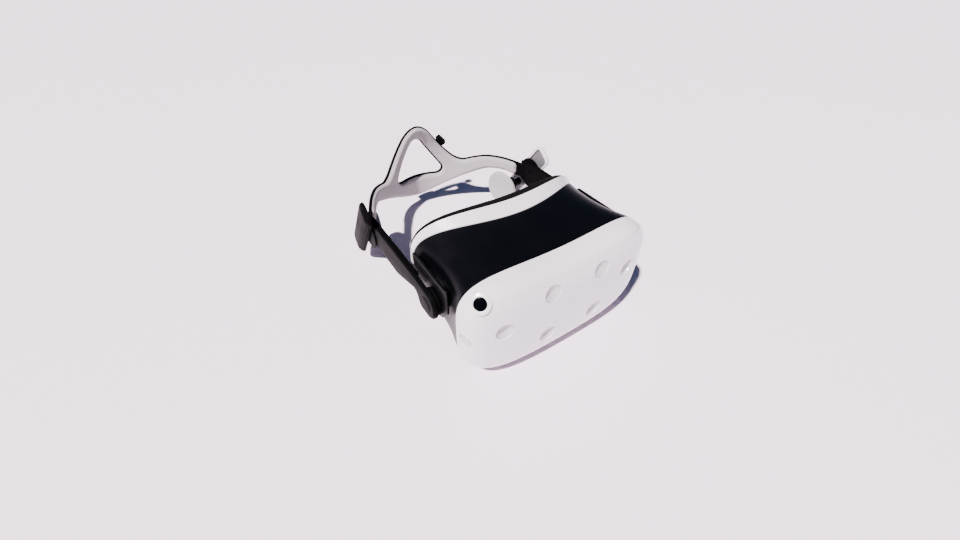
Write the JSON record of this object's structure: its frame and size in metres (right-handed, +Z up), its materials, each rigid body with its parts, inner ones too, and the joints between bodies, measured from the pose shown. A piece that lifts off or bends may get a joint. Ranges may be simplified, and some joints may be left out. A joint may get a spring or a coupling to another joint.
{
  "type": "virtual reality headset with rigid head strap and earphones",
  "caption": "Virtual reality headset: white cover with round sensor recesses, black housing, face cushion, tilting rigid strap with open padded cradle and swinging earphones.",
  "frame": {"origin": "on the surface that the headset stands on, under the middle of its box", "axes": "+X to the right as seen from the front, +Y from the front cover to the rear cradle, +Z up"},
  "size_m": [0.215, 0.292, 0.111],
  "materials": {
    "cover_white": "gloss white",
    "ring_white": "gloss white",
    "housing_black": "satin black",
    "strap_black": "satin black",
    "arm_grey": "satin dark grey",
    "control_grey": "satin dark grey",
    "barrel_black": "matt black",
    "track_grey": "matt grey",
    "foam_black": "matt foam",
    "pad_cloth": "soft off-white",
    "chassis_metal": "brushed",
    "board_green": "lacquered",
    "camera_glass": "polished black",
    "display_glass": "polished black",
    "lens_clear": "polished"
  },
  "bodies": {
    "headset": {"sensor_window_1": "cover_white", "sensor_window_2": "cover_white", "sensor_window_3": "cover_white", "sensor_window_4": "cover_white", "sensor_window_5": "cover_white", "sensor_window_6": "cover_white", "sensor_window_7": "cover_white", "sensor_window_8": "cover_white", "front_visor": "cover_white", "camera_bezel": "cover_white", "camera_lens": "camera_glass", "body_shell": "housing_black", "face_ring": "ring_white", "face_cushion": "foam_black", "chassis_plate": "chassis_metal", "heat_spreader": "chassis_metal", "main_board": "board_green", "proximity_sensor": "camera_glass", "display_l": "display_glass", "post_top_l": "chassis_metal", "post_bottom_l": "chassis_metal", "temple_plate_l": "housing_black", "pivot_disc_l": "strap_black", "pivot_cap_l": "strap_black", "display_r": "display_glass", "post_top_r": "chassis_metal", "post_bottom_r": "chassis_metal", "temple_plate_r": "housing_black", "pivot_disc_r": "strap_black", "pivot_cap_r": "strap_black"},
    "eye_tube_l": {"lens_barrel_l": "barrel_black", "lens_l": "lens_clear"},
    "eye_tube_r": {"lens_barrel_r": "barrel_black", "lens_r": "lens_clear"},
    "knob": {"eye_distance_knob": "control_grey"},
    "button": {"system_button": "control_grey"},
    "strap_arms": {"strap_arm_l": "arm_grey", "strap_arm_r": "arm_grey"},
    "cradle": {"cradle_shell": "strap_black", "cradle_pad": "pad_cloth", "cable_clip": "strap_black"},
    "dial": {"fit_dial": "control_grey"},
    "ear_bar_l": {"ear_boss_l": "strap_black", "ear_bar_frame_l": "strap_black", "ear_bar_track_l": "track_grey", "ear_bar_cover_l": "strap_black"},
    "ear_slide_l": {"ear_hub_l": "strap_black"},
    "ear_cup_l": {"ear_cup_l": "cover_white", "ear_pad_l": "pad_cloth"},
    "ear_bar_r": {"ear_boss_r": "strap_black", "ear_bar_frame_r": "cover_white", "ear_bar_track_r": "track_grey", "ear_bar_cover_r": "strap_black"},
    "ear_slide_r": {"ear_hub_r": "strap_black"},
    "ear_cup_r": {"ear_cup_r": "cover_white", "ear_pad_r": "pad_cloth"}
  },
  "joints": [
    {"name": "strap_tilt", "type": "hinge", "parent": "headset", "child": "strap_arms", "pos_m": [0, -0.08215, 0.058], "axis": [1, 0, 0], "range_deg": [-2, 35]},
    {"name": "strap_length", "type": "slide", "parent": "strap_arms", "child": "cradle", "axis": [0, 1, 0], "range_m": [0, 0.02]},
    {"name": "dial_turn", "type": "hinge", "parent": "cradle", "child": "dial", "pos_m": [0, 0.1387, 0.026], "axis": [0, 1, 0], "range_deg": [-2, 302]},
    {"name": "eye_distance_r", "type": "slide", "parent": "headset", "child": "eye_tube_r", "axis": [1, 0, 0], "range_m": [-0.003, 0.003]},
    {"name": "eye_distance_l", "type": "slide", "parent": "headset", "child": "eye_tube_l", "axis": [1, 0, 0], "range_m": [-0.0031, 0.0031]},
    {"name": "knob_turn", "type": "hinge", "parent": "headset", "child": "knob", "pos_m": [0.091, -0.10215, 0.03], "axis": [1, 0, 0], "range_deg": [-136, 136]},
    {"name": "button_press", "type": "slide", "parent": "headset", "child": "button", "axis": [1, 0, 0], "range_m": [0, 0.0012], "stiffness_N_per_m": 500, "springref_m": -0.001},
    {"name": "ear_swing_l", "type": "hinge", "parent": "strap_arms", "child": "ear_bar_l", "pos_m": [-0.1005, 0.03685, 0.0575], "axis": [1, 0, 0], "range_deg": [-8, 0]},
    {"name": "ear_height_l", "type": "slide", "parent": "ear_bar_l", "child": "ear_slide_l", "axis": [0, 0.6088, -0.7934], "range_m": [0, 0.004]},
    {"name": "ear_tilt_l", "type": "hinge", "parent": "ear_slide_l", "child": "ear_cup_l", "pos_m": [-0.09025, 0.06, 0.0361], "axis": [0, 0, 1], "range_deg": [-4, 4]},
    {"name": "ear_swing_r", "type": "hinge", "parent": "strap_arms", "child": "ear_bar_r", "pos_m": [0.1005, 0.03685, 0.0575], "axis": [1, 0, 0], "range_deg": [-8, 0]},
    {"name": "ear_height_r", "type": "slide", "parent": "ear_bar_r", "child": "ear_slide_r", "axis": [0, 0.6088, -0.7934], "range_m": [0, 0.004]},
    {"name": "ear_tilt_r", "type": "hinge", "parent": "ear_slide_r", "child": "ear_cup_r", "pos_m": [0.09025, 0.06, 0.0361], "axis": [0, 0, 1], "range_deg": [-4, 4]}
  ],
  "couplings": [
    {"joint": "dial_turn", "follows": "strap_length", "rad_per_m": 261.8},
    {"joint": "eye_distance_l", "follows": "eye_distance_r", "ratio": -1},
    {"joint": "knob_turn", "follows": "eye_distance_r", "rad_per_m": 785.4}
  ]
}
